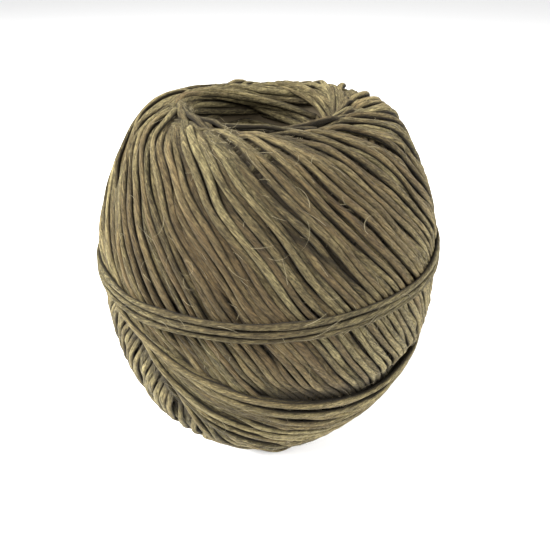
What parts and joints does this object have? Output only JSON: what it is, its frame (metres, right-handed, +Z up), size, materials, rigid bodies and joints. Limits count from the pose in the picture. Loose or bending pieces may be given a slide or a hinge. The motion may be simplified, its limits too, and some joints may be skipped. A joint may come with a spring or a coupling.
{
  "type": "ball of hemp twine",
  "caption": "Wound ball of natural hemp twine, slant turns crossing round an open core hole, with a few turns laid side by side round its waist.",
  "frame": {"origin": "centre of the flat spot that the ball stands on, under the core hole's axis", "axes": "+Z up along the core hole's axis, -Y towards the viewer in the usual front view, +X to the right"},
  "size_m": [0.07, 0.07, 0.08],
  "materials": {
    "hemp_twine": "matte twisted natural fibre, khaki brown"
  },
  "bodies": {
    "root": {"twine_ball": "hemp_twine"}
  },
  "joints": []
}
